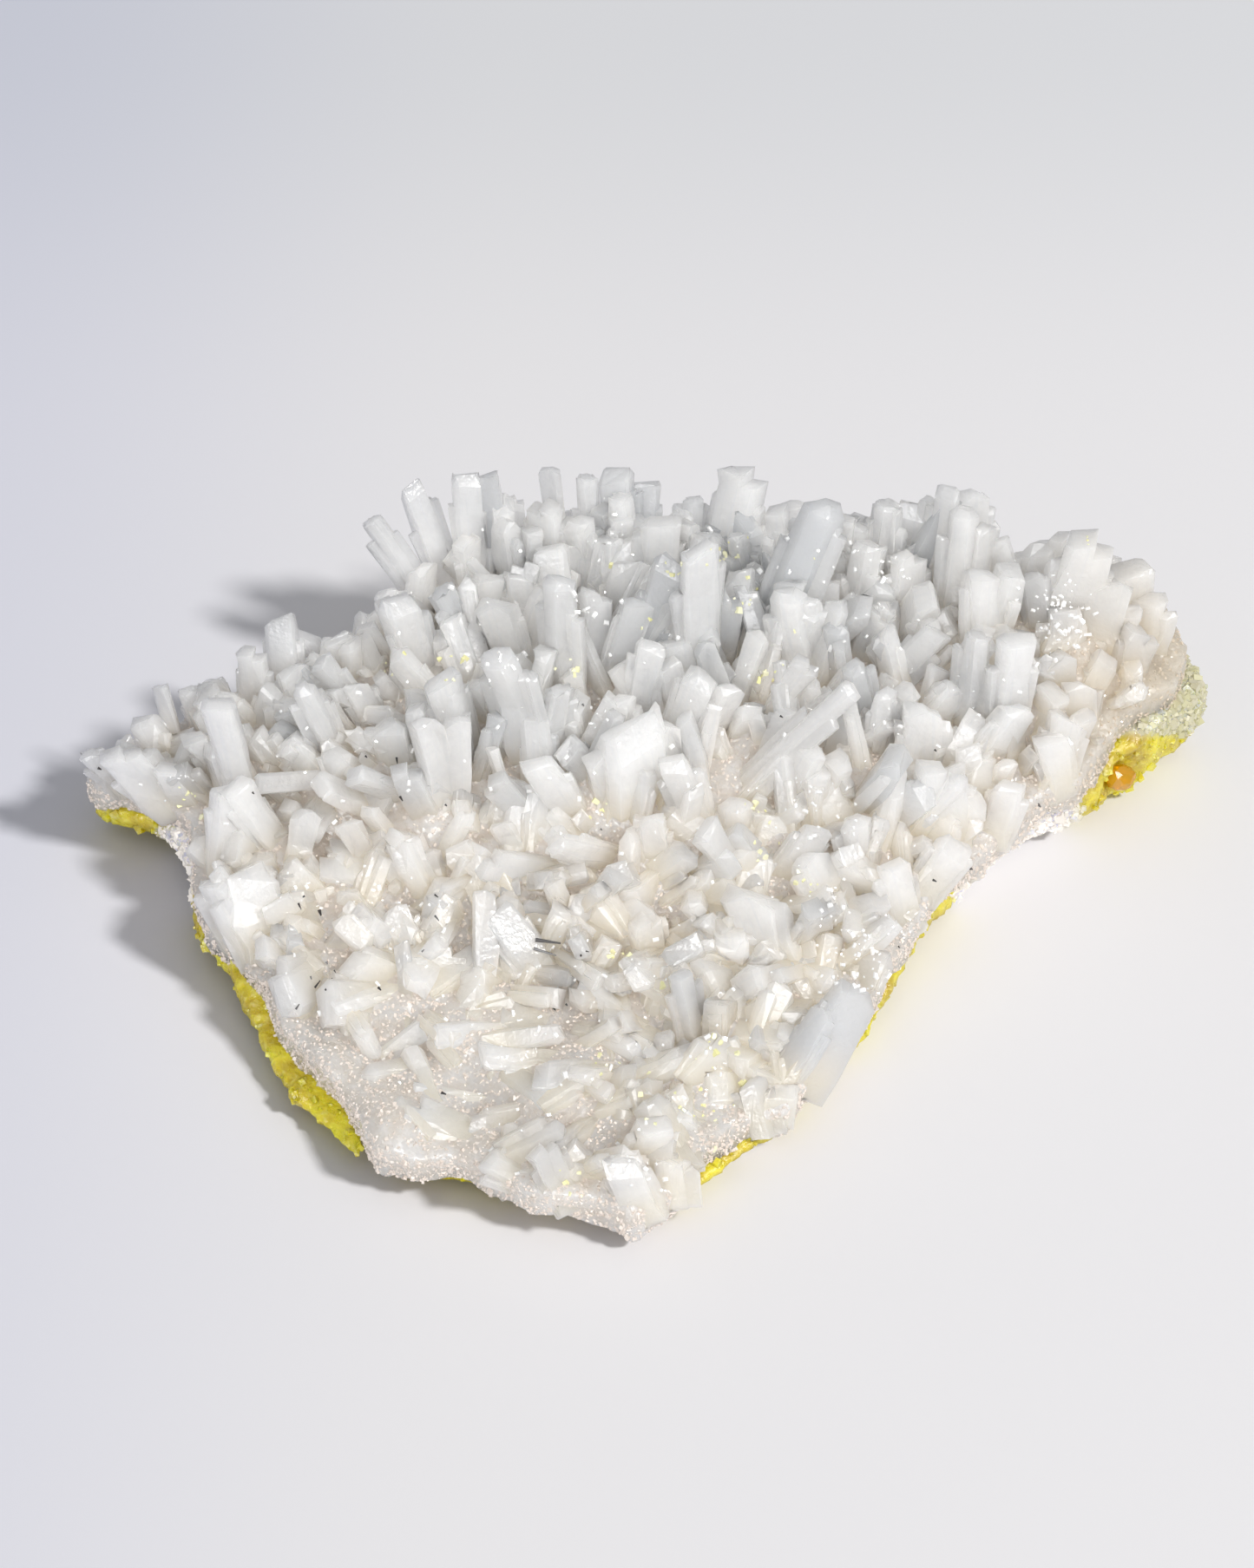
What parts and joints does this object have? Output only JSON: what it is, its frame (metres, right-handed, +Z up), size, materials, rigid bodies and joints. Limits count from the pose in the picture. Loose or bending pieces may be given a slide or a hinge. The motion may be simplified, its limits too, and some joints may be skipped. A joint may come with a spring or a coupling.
{
  "type": "celestite specimen",
  "caption": "Mineral specimen: white celestite prisms standing on a thin crust over a layer of yellow sulfur, lying on its flattened underside.",
  "frame": {"origin": "middle of the plan, on the surface that the specimen rests on", "axes": "+X along the length of the plate, from the narrow tip to the end where the sulfur shows; +Y towards the high back; +Z up"},
  "size_m": [0.1579, 0.118, 0.0435],
  "materials": {
    "celestite": "glassy crystal faces, milky inside",
    "sulfur": "waxy, lumpy native sulfur",
    "amber_sulfur": "resinous, clear amber crystal"
  },
  "bodies": {
    "root": {"celestite_druse": "celestite", "sulfur_layer": "sulfur", "amber_sulfur_crystal": "amber_sulfur"}
  },
  "joints": []
}
